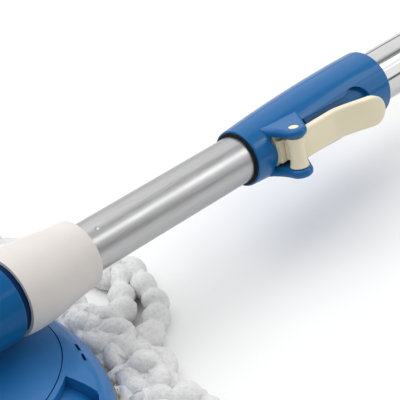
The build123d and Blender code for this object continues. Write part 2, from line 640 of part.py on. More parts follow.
def make_lock_lever():
    pin = (LEVER_PIN_ALONG, LEVER_PIN_OUT)
    face_in = LEVER_FACE_OUT - LEVER_THICKNESS
    flare_in = LEVER_FLARE_OUT - LEVER_THICKNESS
    bend = (LEVER_END - LEVER_BEND_START) / 2
    beyond = LEVER_END + LEVER_THICKNESS
    bend_from = LEVER_BEND_START - LEVER_BEND_EASE
    bend_to = LEVER_BEND_START + LEVER_BEND_EASE
    outline = closed(
        Line((pin[0], LEVER_FACE_OUT), (bend_from, LEVER_FACE_OUT)),
        Spline(
            (bend_from, LEVER_FACE_OUT),
            (bend_to, LEVER_FACE_OUT + LEVER_BEND_SLOPE * LEVER_BEND_EASE),
            (LEVER_BEND_START + bend, (LEVER_FACE_OUT + LEVER_FLARE_OUT) / 2 + 0.6),
            (beyond, LEVER_FLARE_OUT),
            tangents=[(1, 0), (1, 0)],
        ),
        Line((beyond, LEVER_FLARE_OUT), (beyond, flare_in)),
        Spline(
            (beyond, flare_in),
            (LEVER_BEND_START + bend + 1.2, (face_in + flare_in) / 2 + 0.4),
            (bend_to + 1, face_in + LEVER_BEND_SLOPE * LEVER_BEND_EASE),
            (bend_from + 1, face_in),
            tangents=[(-1, 0), (-1, 0)],
        ),
        Line((bend_from + 1, face_in), (pin[0], face_in)),
        Line((pin[0], face_in), (pin[0], LEVER_FACE_OUT)),
    )
    paddle = upright(outline, LEVER_WIDTH / 2)
    tip = LEVER_WIDTH / 2
    plan = Rectangle(2 * (LEVER_END - tip), LEVER_WIDTH) + Pos(LEVER_END - tip, 0) * Circle(tip)
    paddle &= Rot(-90, 0, 0) * extrude(plan, FAR / 4)
    paddle = fillet([edge for edge in paddle.edges() if abs(edge.center().Z) > 1], LEVER_EDGE)
    knuckle = turned(
        Line((-LEVER_WIDTH / 2, 0), (-LEVER_WIDTH / 2, KNUCKLE_RADIUS)),
        ThreePointArc(
            (-LEVER_WIDTH / 2, KNUCKLE_RADIUS),
            (0, KNUCKLE_WAIST),
            (LEVER_WIDTH / 2, KNUCKLE_RADIUS),
        ),
        Line((LEVER_WIDTH / 2, KNUCKLE_RADIUS), (LEVER_WIDTH / 2, 0)),
        Line((LEVER_WIDTH / 2, 0), (-LEVER_WIDTH / 2, 0)),
    )
    trunnion = rod(TRUNNION_RADIUS, -EAR_INNER - EAR_THICKNESS + 0.3, EAR_INNER + EAR_THICKNESS - 0.3)
    corners = [(0, 0), (-CAM_HEEL, -CAM_RADIUS), (CAM_RADIUS, -CAM_RADIUS), (CAM_RADIUS, 0)]
    cam = Pos(*pin) * (Circle(CAM_RADIUS) & Polygon(*corners, align=None))
    lever = paddle + upright(cam, CAM_WIDTH / 2)
    return lever + Pos(pin[0], pin[1], 0) * Rot(0, 90, 0) * (knuckle + trunnion)


def make_clamp_shoe():
    """A saddle on the lower tube with a pad that the lever's cam bears on."""
    end = SHOE_START + SHOE_LENGTH
    top = LEVER_PIN_OUT - CAM_RADIUS - CAM_GAP
    sector = Pos(SHOE_START, FAR / 8, 0) * Box(SHOE_LENGTH, FAR / 4, 2 * SHOE_HALF_WIDTH, align=FROM_START)
    saddle = rod(SHOE_RADIUS, SHOE_START, end) & sector
    pad = Pos(LEVER_PIN_ALONG, top / 2, 0) * Box(SHOE_PAD_LENGTH, top, CAM_WIDTH + 1)
    return saddle + pad - rod(LOWER_RADIUS + SHOE_GAP, 0, HOUSING_LENGTH)


# ---- upper tube and handle ------------------------------------------------------------------------------
def make_upper_tube():
    tube = sleeve(UPPER_RADIUS, UPPER_BORE, MOUTH_PLACE + TUBE_STOP, UPPER_END)
    return tube - in_lock(housing_screw_hole())


def make_handle_grip():
    length = UPPER_END - GRIP_START
    wall = GRIP_RADIUS - UPPER_RADIUS
    section = Pos(GRIP_START, UPPER_RADIUS) * Rectangle(length, wall, align=(Align.MIN, Align.MIN))
    step = length / (GRIP_GROOVES + 1)
    for i in range(GRIP_GROOVES):
        section -= Pos(GRIP_START + step * (i + 1), GRIP_RADIUS + GRIP_GROOVE) * Circle(GRIP_GROOVE * 2)
    return revolve(section, Axis.X)


def make_end_cap():
    dome_start = POLE_END - END_CAP_RADIUS
    cap = turned(
        Line((UPPER_END, 0), (UPPER_END, END_CAP_RADIUS)),
        Line((UPPER_END, END_CAP_RADIUS), (dome_start, END_CAP_RADIUS)),
        RadiusArc((dome_start, END_CAP_RADIUS), (POLE_END, 0), END_CAP_RADIUS),
        Line((POLE_END, 0), (UPPER_END, 0)),
    )
    side = Box(FAR, FAR, FAR, align=(Align.MIN, Align.CENTER, Align.MIN))
    side = Pos(UPPER_END + END_CAP_COLLAR, 0, TAB_THICKNESS / 2) * side
    cap -= side + mirror(side, Plane.XY)
    cap += rod(UPPER_BORE, UPPER_END - END_CAP_SPIGOT, UPPER_END + 1)
    return cap - Pos(dome_start + 2, 0, 0) * Cylinder(HANG_RADIUS, FAR)


keep("mop_plate", make_mop_plate())
keep("drive_hub", make_drive_hub())
keep("hub_cap", make_hub_cap())
keep("socket_sleeve", make_socket_sleeve())
keep("yoke", make_yoke())
keep("yoke_screws", *make_yoke_screws())
keep("snap_ring", make_snap_ring())
keep("stitched_band", make_stitched_band())
for bundle in range(YARN_COUNT):
    keep(f"yarn_bundle_{bundle + 1}", make_yarn_bundle(bundle))
keep("hinge_pin", on_pole(make_hinge_pin()))
keep("joint_barrel", on_pole(make_joint_barrel()))
keep("tube_collar", on_pole(make_tube_collar()))
keep("lower_tube", on_pole(make_lower_tube()))
keep("clutch_body", on_pole(make_clutch_body()))
keep("clutch_rollers", *[on_pole(roller) for roller in make_clutch_rollers()])
keep("clutch_cap", on_pole(make_clutch_cap()))
keep("guide_bush", on_pole(make_guide_bush()))
keep("drive_nut", on_pole(make_drive_nut()))
keep("twisted_spindle", on_pole(make_twisted_spindle()))
keep("spindle_stop", on_pole(make_spindle_stop()))
keep("spindle_plug", on_pole(make_spindle_plug()))
keep("upper_tube", on_pole(make_upper_tube()))
keep("lock_housing", on_lock(make_lock_housing()))
keep("housing_screw", on_lock(make_housing_screw()))
keep("wiper_ring", on_lock(make_wiper_ring()))
keep("lock_lever", on_lock(make_lock_lever()))
keep("clamp_shoe", on_lock(make_clamp_shoe()))
keep("handle_grip", on_pole(make_handle_grip()))
keep("end_cap", on_pole(make_end_cap()))

os.makedirs("parts", exist_ok=True)
for name, shape in nodes.items():
    export_step(shape, f"parts/{name}.step")
    print(name, len(shape.solids()), round(shape.volume, 1))
print("lay angle", round(LAY_ANGLE, 3))
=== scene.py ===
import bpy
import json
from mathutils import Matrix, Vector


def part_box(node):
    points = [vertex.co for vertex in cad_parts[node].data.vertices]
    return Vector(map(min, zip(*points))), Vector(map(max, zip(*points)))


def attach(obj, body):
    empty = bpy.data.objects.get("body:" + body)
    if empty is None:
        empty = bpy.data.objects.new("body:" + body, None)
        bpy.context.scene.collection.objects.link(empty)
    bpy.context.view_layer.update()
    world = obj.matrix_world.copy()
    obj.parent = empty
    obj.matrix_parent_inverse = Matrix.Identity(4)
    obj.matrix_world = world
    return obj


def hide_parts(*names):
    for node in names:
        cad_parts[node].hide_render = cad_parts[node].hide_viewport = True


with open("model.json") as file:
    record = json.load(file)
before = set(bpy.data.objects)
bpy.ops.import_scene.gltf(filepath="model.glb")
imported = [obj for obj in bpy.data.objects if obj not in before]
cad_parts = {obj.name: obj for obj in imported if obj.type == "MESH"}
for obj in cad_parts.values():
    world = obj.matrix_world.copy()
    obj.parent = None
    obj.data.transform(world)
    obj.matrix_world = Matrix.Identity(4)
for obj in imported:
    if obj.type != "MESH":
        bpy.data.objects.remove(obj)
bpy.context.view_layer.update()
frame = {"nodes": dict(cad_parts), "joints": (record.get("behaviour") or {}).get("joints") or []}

import json
import math
import random

import bpy
import numpy as np
from bpy.props import FloatProperty, FloatVectorProperty, IntProperty, PointerProperty
from bpy.types import Operator, Panel, PropertyGroup
from mathutils import Quaternion, Vector, noise

bl_info = {
    "name": "Spin Mop Dresser",
    "version": (1, 0, 0),
    "blender": (4, 5, 0),
    "location": "3D View > Sidebar > Spin Mop",
    "description": "Dresses the spin mop's frame with yarn, stitching, finishes and a pale studio",
    "category": "Object",
}

MM = 0.001
CIRCLE = 2 * math.pi
CURVE_STEPS = 12  # between two given points of a smooth line

# ---- places read from the frame ------------------------------------------------------------
BAND_LOW, BAND_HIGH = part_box("stitched_band")
YARN_LOW, YARN_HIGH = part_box("yarn_bundle_1")
PIN_LOW, PIN_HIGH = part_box("hinge_pin")
RIM_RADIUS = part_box("mop_plate")[1][0]
BAND_RADIUS = BAND_HIGH[0]
YARN_REACH = YARN_HIGH[0]
FLOOR_Z = YARN_LOW[2]
PIVOT = tuple((PIN_LOW + PIN_HIGH) / 2)
SLOPE = next(tuple(joint["axis"]) for joint in frame["joints"] if joint["name"] == "plunge")
BUNDLES = sorted(name for name in frame["nodes"] if name.startswith("yarn_bundle_"))

# ---- tape and stitches ---------------------------------------------------------------------
WEAVE_PITCH = 1.1 * MM
STITCHES = 150
STITCH_STEPS = 8
STITCH_SHARE = 0.96  # of the space from one stitch to the next
THREAD_RADIUS = 0.33 * MM
THREAD_SIDES = 6
THREAD_STEP = 0.7 * MM

# ---- strands and loops ---------------------------------------------------------------------
SEED = 40
STRAND_SIDES = 14
STRAND_STEP = 1.3 * MM
PILE_COARSE = 210  # bumps to a metre
PILE_FINE = 700
SEWN_IN = 5 * MM  # how far inside the tape's outer face a strand ends
SEWN_HEIGHT = 3.2 * MM  # of a strand's ends above the floor
RIM_CLEARANCE = 4 * MM
LYING_HEIGHT = 4.9 * MM  # of a lying strand's middle above the floor
LAYER_RISE = 5.2 * MM
LAYER_SETBACK = 5 * MM
BUNDLE_FILL = 0.92  # of a bundle's angle that its loops are shared out over
TAPER_START = 5 * MM  # from a strand's end, where it begins to swell
TAPER_LENGTH = 20 * MM
PILE_FADE = 6 * MM  # over which the pile grows from a strand's end

# Ranges in millimetres that each free loop is drawn from.
RAGGED = (2, 14)  # short of the yarn's full reach
SHORT_REACH = (90, 97)  # of the loops in bundles that also have fallen ones
LEG_SPREAD = (14, 19)

# The loops that lie open beside the folded pole, in millimetres, by the bundle they belong to.
FALLEN_LOOPS = {
    "yarn_bundle_1": (
        (
            (62, -2, 0), (74, -4, 0), (84, -5, 1), (92, -5, 2), (99, -4, 3), (106, -2, 3),
            (111, 2, 2), (116, 8, 2), (122, 14, 2), (128, 20, 1), (132, 18, 1), (129, 10, 2),
            (125, 1, 2), (122, -8, 1), (115, -14, 1), (106, -19, 1), (97, -22, 2), (89, -22, 2),
            (78, -18, 0), (66, -11, 0),
        ),
        (
            (60, 15, 0), (72, 20, 0), (88, 30, 1), (104, 36, 1), (115, 32, 1), (119, 25, 1),
            (120, 18, 1), (125, 22, 1), (128, 30, 1), (118, 41, 1), (98, 42, 1), (76, 32, 0),
            (58, 21, 0),
        ),
        (
            (62, 5, 0), (74, 6, 0), (84, 7, 2), (92, 10, 3), (97, 15, 2), (94, 22, 1),
            (84, 22, 1), (72, 16, 0), (60, 10, 0),
        ),
        (
            (62, 1, 0), (74, 1, 0), (83, 1, 2), (90, 2, 4), (95, 0, 6), (96, -6, 6),
            (90, -8, 5), (82, -6, 2), (72, -5, 0), (62, -4, 0),
        ),
        (
            (62, -8, 0), (74, -9, 0), (82, -9, 3), (89, -10, 6), (94, -13, 7), (94, -18, 7),
            (88, -20, 6), (81, -17, 3), (72, -14, 0), (61, -12, 0),
        ),
    ),
    "yarn_bundle_8": (
        (
            (68, -20, 0), (78, -22, 2), (87, -24, 5), (94, -28, 4), (98, -34, 2), (95, -40, 2),
            (90, -42, 3), (82, -38, 3), (73, -32, 1), (64, -27, 0),
        ),
        (
            (67, -24, 0), (75, -29, 5), (82, -33, 9), (87, -37, 10), (88, -42, 8), (83, -45, 7),
            (76, -41, 6), (68, -35, 3), (60, -31, 0),
        ),
        (
            (63, -30, 0), (72, -36, 3), (80, -42, 4), (87, -47, 3), (91, -53, 2), (87, -59, 2),
            (79, -55, 3), (68, -46, 2), (56, -37, 0),
        ),
        (
            (58, -37, 0), (67, -44, 4), (76, -51, 6), (84, -57, 5), (91, -63, 3), (89, -70, 2),
            (80, -68, 3), (68, -57, 2), (53, -44, 0),
        ),
    ),
}

# ---- joint ---------------------------------------------------------------------------------
# The joint's neck, in the groove between the barrel and the collar, is painted navy as painted
# shade, and its coat's highlight is taken away.
NECK_START = 42.55 * MM  # along the pole from the hinge pin
NECK_SHADE_EDGE = 0.3 * MM  # over which the blue turns to navy
BARREL_COAT = 0.15

# ---- stage ---------------------------------------------------------------------------------
FLOOR_REACH = 12
FRONT_WALL = (0.36, 0.36, 0.36)
BACK_WALL = (0.98, 0.98, 0.98)
WALL_GAP = (0.2, 0.2, 0.2)
FLOOR_LINE = (0.1, 0.1, 0.105)
WHITE = (1, 1, 1)
CAMERA_PLACE = (-0.2661, -0.3986, 0.4923)
CAMERA_DIRECTION = (0.5724, 0.5384, -0.6185)
SENSOR_WIDTH = 36
CLIP_START = 0.02


# ---- sizes and colours that a user would change --------------------------------------------
def colour(name, description, default):
    return FloatVectorProperty(
        name=name, description=description, subtype="COLOR", size=3, min=0, max=1, default=default
    )


def length(name, description, default, precision=4):
    return FloatProperty(
        name=name, description=description, default=default, unit="LENGTH", precision=precision
    )


def power(name, description, default):
    return FloatProperty(name=name, description=description, default=default, unit="POWER")


class SPINMOP_PG_yarn(PropertyGroup):
    loops: IntProperty(
        name="Loops", description="Free loops of yarn in each bundle", default=12, min=3, max=40
    )
    thickness: length("Thickness", "Width of one strand", 10.8 * MM)
    lobe: length("Lobe", "Length of one puff along a strand", 12.0 * MM)
    fuzz: length("Fuzz", "Height of the pile's unevenness", 0.7 * MM)
    white: colour("Yarn", "Colour of the pile", (0.86, 0.86, 0.858))
    tape: colour("Tape", "Colour of the sewn tape", (0.42, 0.32, 0.22))


class SPINMOP_PG_plastics(PropertyGroup):
    blue: colour("Blue", "Colour of the plate, joint, lock and end cap", (0.004, 0.118, 0.335))
    # On the joint's neck this navy is painted shade in the groove between the barrel and the
    # collar.
    navy: colour("Navy", "Colour of the joint's neck, fork and hub", (0.003, 0.022, 0.08))
    collar: colour("Collar", "Colour of the collar", (0.7, 0.665, 0.635))
    lever: colour("Lever", "Colour of the lever and its shoe", (0.84, 0.77, 0.57))
    wiper: colour("Wiper", "Colour of the rubber wiper ring", (0.012, 0.012, 0.014))
    grip: colour("Grip", "Colour of the handle's sleeve", (0.02, 0.06, 0.16))
    natural: colour("Natural", "Colour of the turned acetal pieces", (0.75, 0.75, 0.72))


class SPINMOP_PG_metals(PropertyGroup):
    brushed: colour("Brushed tube", "Colour of the lower tube", (0.45, 0.45, 0.455))
    polished: colour("Polished tube", "Colour of the upper tube", (0.57, 0.57, 0.575))
    steel: colour("Steel", "Colour of the pins, screws and spindle", (0.5, 0.5, 0.51))
    grain: length("Grain", "Width of the lower tube's brush marks", 0.45 * MM, precision=5)


class SPINMOP_PG_stage(PropertyGroup):
    lens: FloatProperty(
        name="Lens", description="Focal length of the camera", default=153.0, unit="CAMERA"
    )
    floor: colour("Floor", "Colour of the floor", (0.93, 0.93, 0.93))
    sky: FloatProperty(name="Sky", description="Strength of the even light", default=1.22, min=0)
    key: power("Key", "Power of the main soft light", 7.0)
    streak: power("Streak", "Power of the softbox along the tubes", 2.8)
    far: power("Far", "Power of the softbox beyond the handle", 1.1)
    side: power("Side", "Power of the softbox at the handle's side", 2.5)
    spark: power("Spark", "Power of the small lamp for crisp highlights", 0.5)


# ---- materials -----------------------------------------------------------------------------
class Field:
    """A value that changes over a surface. Arithmetic on it adds Math nodes."""

    def __init__(self, recipe, socket):
        self.recipe = recipe
        self.socket = socket

    def math(self, operation, *values):
        return self.recipe.node("ShaderNodeMath", {"operation": operation}, dict(enumerate(values)))

    def __add__(self, other):
        return self.math("ADD", self, other)

    def __sub__(self, other):
        return self.math("SUBTRACT", self, other)

    def __rsub__(self, other):
        return self.math("SUBTRACT", other, self)

    def __mul__(self, other):
        return self.math("MULTIPLY", self, other)

    __radd__ = __add__
    __rmul__ = __mul__

    def sine(self):
        return self.math("SINE", self)

    def between(self, low, high):
        """0 below low, 1 above high, and a smooth step between."""
        settings = {"interpolation_type": "SMOOTHSTEP"}
        sockets = {"Value": self, "From Min": low, "From Max": high}
        return self.recipe.node("ShaderNodeMapRange", settings, sockets)


class Recipe:
    """A node tree that nodes are added to."""

    # A Mix node has a set of sockets for each kind of value. These are the ones for colours.
    COLOUR_A, COLOUR_B, COLOUR_RESULT = 6, 7, 2

    def __init__(self, tree):
        self.tree = tree

    def node(self, kind, settings=None, sockets=None, output=0):
        """Adds a node with its settings and then its sockets' values or links."""
        made = self.tree.nodes.new(kind)
        for key, value in (settings or {}).items():
            setattr(made, key, value)
        for key, value in (sockets or {}).items():
            if isinstance(value, Field):
                self.tree.links.new(value.socket, made.inputs[key])
            else:
                made.inputs[key].default_value = value
        return Field(self, made.outputs[output])

    def vectors(self, operation, a, b, output=0):
        return self.node("ShaderNodeVectorMath", {"operation": operation}, {0: a, 1: b}, output)

    def scaled(self, place, scale):
        return self.vectors("MULTIPLY", place, scale)

    def along(self, place, start, direction):
        """Distance in metres from start along direction."""
        offset = self.vectors("SUBTRACT", place, start)
        return self.vectors("DOT_PRODUCT", offset, direction, "Value")

    def mix(self, factor, a, b):
        """The colour a where factor is 0, and b where it is 1."""
        sockets = {"Factor": factor}
        for key, value in ((self.COLOUR_A, a), (self.COLOUR_B, b)):
            sockets[key] = value if isinstance(value, Field) else (*value, 1)
        return self.node("ShaderNodeMix", {"data_type": "RGBA"}, sockets, self.COLOUR_RESULT)


class Finish(Recipe):
    """A material on one Principled shader, with the values that are the same all over it."""

    def __init__(self, name, uniform):
        self.material = bpy.data.materials.new(name)
        self.material.use_nodes = True
        super().__init__(self.material.node_tree)
        self.shader = self.tree.nodes["Principled BSDF"]
        for socket, value in uniform.items():
            self.shader.inputs[socket].default_value = value

    def vary(self, socket, field):
        """Feeds a socket of the shader with a value that changes over the surface."""
        self.tree.links.new(field.socket, self.shader.inputs[socket])

    def place(self):
        """The point on the surface, in metres in the frame at rest."""
        return self.node("ShaderNodeTexCoord", output="Object")

    def noise(self, place, size, detail=3.0, rough=0.5, seed=0.0):
        """Cloudy noise whose patches are about size metres across."""
        shifted = self.vectors("ADD", place, (seed, seed * 0.7, seed * 0.3))
        sockets = {"Vector": shifted, "Scale": 1 / size, "Detail": detail, "Roughness": rough}
        return self.node("ShaderNodeTexNoise", None, sockets)

    def shades(self, factor, rgb, low, high):
        """A colour that goes from one shade of itself to another."""
        return self.mix(factor, shade(rgb, low), shade(rgb, high))

    def bump(self, height, distance, strength=1.0):
        sockets = {"Height": height, "Distance": distance, "Strength": strength}
        self.vary("Normal", self.node("ShaderNodeBump", None, sockets))


def shade(rgb, factor):
    return tuple(min(1.0, c * factor) for c in rgb)


def dress(finish, *names):
    """Puts a finish on CAD nodes."""
    for name in names:
        materials = frame["nodes"][name].data.materials
        materials.clear()
        materials.append(finish.material)


def plastic(name, roughness, coat, shine, peel):
    """Moulded plastic with no colour yet, and the faint flow for its colour to follow."""
    uniform = {
        "Coat Weight": coat,
        "Coat Roughness": 0.08,
        "IOR": 1.47,
        "Specular IOR Level": shine,
    }
    finish = Finish(name, uniform)
    place = finish.place()
    rubbed = finish.noise(place, 9 * MM, detail=4.0, rough=0.6, seed=0.3).between(0.48, 0.72)
    finish.vary("Roughness", roughness + 0.08 * rubbed)
    pores = finish.noise(place, 0.35 * MM, detail=1.0, rough=0.4)
    skin = finish.noise(place, peel, detail=2.0, rough=0.4, seed=0.7)
    finish.bump(skin + 0.18 * pores, 0.03 * MM)
    return finish, finish.noise(place, 22 * MM, detail=2.0)


def moulded(name, rgb, roughness, coat=0.0, shine=0.15, peel=6 * MM):
    """Glossy or satin plastic of one colour, with rubbed patches and fine orange peel."""
    finish, flow = plastic(name, roughness, coat, shine, peel)
    finish.vary("Base Color", finish.shades(flow, rgb, 0.93, 1.07))
    return finish


# ---- mesh helpers --------------------------------------------------------------------------
def piece(name, verts, faces, body, finish):
    mesh = bpy.data.meshes.new(name)
    mesh.from_pydata(verts.tolist(), [], faces)
    mesh.update()
    mesh.polygons.foreach_set("use_smooth", [True] * len(mesh.polygons))
    obj = bpy.data.objects.new(name, mesh)
    bpy.context.scene.collection.objects.link(obj)
    mesh.materials.append(finish.material)
    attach(obj, body)
    return obj


def polar(radius, angle, height):
    return (radius * math.cos(angle), radius * math.sin(angle), height)


def smooth_line(points, step):
    """Points every step metres or so along a smooth line, and how far along it each one is."""
    points = np.asarray(points, float)
    ends = np.vstack([2 * points[0] - points[1], points, 2 * points[-1] - points[-2]])
    line = []
    for a, b, c, d in zip(ends, ends[1:], ends[2:], ends[3:]):
        square = 2 * a - 5 * b + 4 * c - d
        cube = 3 * b - a - 3 * c + d
        for t in np.linspace(0, 1, CURVE_STEPS, endpoint=False):
            line.append(0.5 * (2 * b + (c - a) * t + square * t**2 + cube * t**3))
    line = np.array(line + [points[-1]])
    reach = np.concatenate([[0], np.cumsum(np.linalg.norm(np.diff(line, axis=0), axis=1))])
    places = np.linspace(0, reach[-1], max(4, int(reach[-1] / step) + 1))
    return np.stack([np.interp(places, reach, line[:, k]) for k in range(3)], axis=1), places


def tube(line, radii, base):
    """Vertices and faces of a closed tube round a line; radii has one row for each ring."""
    sides = radii.shape[1]
    tangents = np.gradient(line, axis=0)
    tangents /= np.linalg.norm(tangents, axis=1)[:, None]
    side = np.cross((0.0, 0.0, 1.0), tangents)
    side /= np.linalg.norm(side, axis=1)[:, None] + 1e-12
    over = np.cross(tangents, side)
    turn = np.linspace(0, CIRCLE, sides, endpoint=False)[None, :, None]
    ring = np.cos(turn) * side[:, None, :] + np.sin(turn) * over[:, None, :]
    verts = (line[:, None, :] + ring * radii[:, :, None]).reshape(-1, 3)
    index = np.arange(len(line) * sides).reshape(len(line), sides) + base
    a, b = index[:-1], index[1:]
    walls = np.stack([a, np.roll(a, -1, 1), np.roll(b, -1, 1), b], axis=2).reshape(-1, 4)
    return verts, [*walls.tolist(), index[0][::-1].tolist(), index[-1].tolist()]


def tubes(strands):
    """Vertices and faces of one mesh with a tube for each strand, given by its line and radii."""
    verts, faces, base = [], [], 0
    for line, radii in strands:
        more, skins = tube(line, radii, base)
        verts.append(more)
        faces.extend(skins)
        base += len(more)
    return np.concatenate(verts), faces


# ---- operators -----------------------------------------------------------------------------
class SPINMOP_OT_finish_plate(Operator):
    """Gives the plate, its oval cap, the snap ring, the fork and the hub their moulded finish"""

    bl_idname = "spinmop.finish_plate"
    bl_label = "Mop plate"

    def execute(self, context):
        plastics = context.scene.spinmop_plastics
        # Painted light: the plate and its cap get a lighter copy of the blue than the other blue
        # parts, standing in for light falling on the plate.
        blue = shade(plastics.blue, 1.25)
        shell = moulded("blue_shell", blue, roughness=0.48, coat=0.3, shine=0.5)
        dress(shell, "mop_plate", "hub_cap")
        navy = moulded("navy_ring", plastics.navy, roughness=0.4)
        dress(navy, "snap_ring", "yoke", "drive_hub")
        return {"FINISHED"}


class SPINMOP_OT_sew_band(Operator):
    """Weaves the tape that carries the yarn and sews its edge with a zigzag thread"""

    bl_idname = "spinmop.sew_band"
    bl_label = "Stitched band"

    def woven_tape(self, rgb):
        uniform = {"Roughness": 0.9, "Sheen Weight": 0.25, "Sheen Roughness": 0.5}
        tape = Finish("woven_tape", uniform)
        place = tape.place()
        origin = (0, 0, 0)
        turns = CIRCLE / WEAVE_PITCH
        warp = (tape.along(place, origin, (1, 0, 0)) * turns).sine()
        weft = (tape.along(place, origin, (0, 1, 0)) * turns).sine()
        weave = (warp * weft) * 0.5 + 0.5
        worn = tape.noise(place, 3 * MM, detail=3.0).between(0.4, 0.7)
        threads = tape.shades(weave, rgb, 0.6, 1.25)
        tape.vary("Base Color", tape.mix(worn, threads, shade(rgb, 0.8)))
        tape.bump(weave, 0.2 * MM)
        return tape

    def waxed_thread(self, rgb):
        thread = Finish("waxed_thread", {"Roughness": 0.75, "Sheen Weight": 0.2})
        fibres = thread.noise(thread.place(), 0.5 * MM, detail=2.0)
        thread.vary("Base Color", thread.shades(fibres, rgb, 0.8, 1.5))
        thread.bump(fibres, 0.1 * MM)
        return thread

    def stitch(self, number):
        """One stitch up the tape's outer face and down again, as its line and radii."""
        low = BAND_LOW[2] + 0.2 * MM
        high = BAND_HIGH[2] - 0.1 * MM
        route = []
        for k in range(STITCH_STEPS + 1):
            part = k / STITCH_STEPS
            turn = CIRCLE * (number + part * STITCH_SHARE) / STITCHES
            height = low + (high - low) * (0.5 - 0.5 * math.cos(CIRCLE * part))
            out = BAND_RADIUS + (0.15 + 0.5 * math.sin(math.pi * part)) * MM
            route.append(polar(out, turn, height))
        line, places = smooth_line(route, THREAD_STEP)
        return line, np.full((len(places), THREAD_SIDES), THREAD_RADIUS)

    def execute(self, context):
        rgb = context.scene.spinmop_yarn.tape
        dress(self.woven_tape(rgb), "stitched_band")
        verts, faces = tubes(self.stitch(number) for number in range(STITCHES))
        piece("band_stitches", verts, faces, "mop_head", self.waxed_thread(rgb))
        return {"FINISHED"}


class SPINMOP_OT_make_yarn(Operator):
    """Lays the looped chenille yarn, one piece for each bundle of the frame"""

    bl_idname = "spinmop.make_yarn"
    bl_label = "Yarn"

    def pile(self, rgb):
        uniform = {
            "Roughness": 0.95,
            "Sheen Weight": 0.45,
            "Sheen Roughness": 0.4,
            "Subsurface Weight": 0.12,
            "Subsurface Radius": (1.0, 1.0, 1.0),
            "Subsurface Scale": 2 * MM,
        }
        pile = Finish("chenille", uniform)
        place = pile.place()
        tufts_and_hollow_shade = pile.noise(place, 1.6 * MM, detail=4.0, rough=0.65)
        fibres = pile.noise(place, 0.4 * MM, detail=2.0, rough=0.6, seed=0.4)
        clumps = pile.noise(place, 7 * MM, detail=2.0, rough=0.5, seed=0.9)
        tone = pile.shades(clumps, rgb, 0.94, 1.03)
        # Painted shade: the pile is darker where its tufts dip, in the hollows between them.
        pile.vary("Base Color", pile.mix(tufts_and_hollow_shade.between(0.2, 0.62), shade(rgb, 0.8), tone))
        pile.bump(tufts_and_hollow_shade + 0.35 * fibres, 0.9 * MM, 0.8)
        return pile

    def free_loop(self, stitch, angle, reach, spread, layer, rng):
        """A loop from its stitch out to reach and back, its two legs spread apart by an angle."""
        root = BAND_RADIUS - SEWN_IN
        rim = RIM_RADIUS + RIM_CLEARANCE
        middle = (BAND_RADIUS + reach) / 2
        sewn = FLOOR_Z + SEWN_HEIGHT
        low = FLOOR_Z + LYING_HEIGHT
        half = low + layer * LAYER_RISE / 2
        high = low + layer * LAYER_RISE
        pinch = 0.15 * spread
        lean = rng.uniform(-0.05, 0.05)
        wave = rng.uniform(-0.03, 0.03)
        return [
            polar(root, stitch - pinch, sewn),
            polar(rim, stitch - spread * 0.4, half),
            polar(middle, angle - spread * 0.62 + lean + wave, high),
            polar(reach - 7 * MM, angle - spread * 0.5 + lean, high),
            polar(reach - 1.5 * MM, angle + lean * 1.4, high - 1 * MM),
            polar(reach - 8 * MM, angle + spread * 0.5 + lean, high),
            polar(middle, angle + spread * 0.6 + lean - wave, high),
            polar(rim, stitch + spread * 0.4, half),
            polar(root, stitch + pinch, sewn),
        ]

    def routes(self, number, name, loops, rng):
        """A bundle's loops: the fallen ones, then the free ones, which share a stitch in pairs."""
        routes = [np.array(points) * MM for points in FALLEN_LOOPS.get(name, ())]
        short = len(routes) > 0
        count = loops * 3 // 4 if short else loops
        span = CIRCLE / len(BUNDLES)
        middle = span * number
        for k in range(count):
            share = (k + 0.5) / count
            pair = (k // 2 + 0.5) / math.ceil(count / 2)
            angle = middle + span * (share - 0.5) * BUNDLE_FILL
            stitch = middle + span * (pair - 0.5) * BUNDLE_FILL
            layer = k % (2 if short else 3)
            reach = YARN_REACH - rng.uniform(*RAGGED) * MM - layer * LAYER_SETBACK
            if short:
                reach = rng.uniform(*SHORT_REACH) * MM
            spread = rng.uniform(*LEG_SPREAD) * MM / reach
            routes.append(self.free_loop(stitch, angle, reach, spread, layer, rng))
        return routes

    def strand(self, route, yarn, rng):
        """A strand's line and radii: soft puffs, thin where it is sewn in, with an uneven pile."""
        line, places = smooth_line(route, STRAND_STEP)
        turn = np.linspace(0, CIRCLE, STRAND_SIDES, endpoint=False)
        lobes = places / yarn.lobe
        phase = rng.uniform(0, 1)
        wander = 0.12 * np.sin(lobes * 1.3 + rng.uniform(0, 6))
        puffs = np.abs(np.sin(math.pi * (lobes + wander + phase))) ** 0.75
        swell = 1 + 0.1 * np.sin(lobes * 0.9 + rng.uniform(0, 6))
        from_end = np.minimum(places, places[-1] - places)
        sewn = 0.4 + 0.6 * np.clip((from_end - TAPER_START) / TAPER_LENGTH, 0, 1)
        radius = yarn.thickness / 2 * (0.68 + 0.44 * puffs) * swell * sewn
        oval = 1 + 0.06 * np.cos(2 * turn[None, :] + lobes[:, None] * 1.7)
        radii = radius[:, None] * oval
        fade = np.minimum(1.0, from_end / PILE_FADE + 0.2)
        for i, (x, y, z) in enumerate(line):
            for k, angle in enumerate(turn):
                across, up = radius[i] * math.cos(angle), radius[i] * math.sin(angle)
                spot = Vector((x, y + across, z + up))
                rough = noise.noise(spot * PILE_COARSE) + 0.35 * noise.noise(spot * PILE_FINE)
                radii[i, k] += yarn.fuzz * rough * fade[i]
        return line, radii

    def execute(self, context):
        yarn = context.scene.spinmop_yarn
        pile = self.pile(yarn.white)
        for number, name in enumerate(BUNDLES):
            rng = random.Random(SEED + number)
            routes = self.routes(number, name, yarn.loops, rng)
            verts, faces = tubes(self.strand(route, yarn, rng) for route in routes)
            verts[:, 2] = np.maximum(verts[:, 2], FLOOR_Z)
            strands = piece(f"chenille_{number + 1}", verts, faces, "mop_head", pile)
            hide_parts(name)
        return {"FINISHED"}


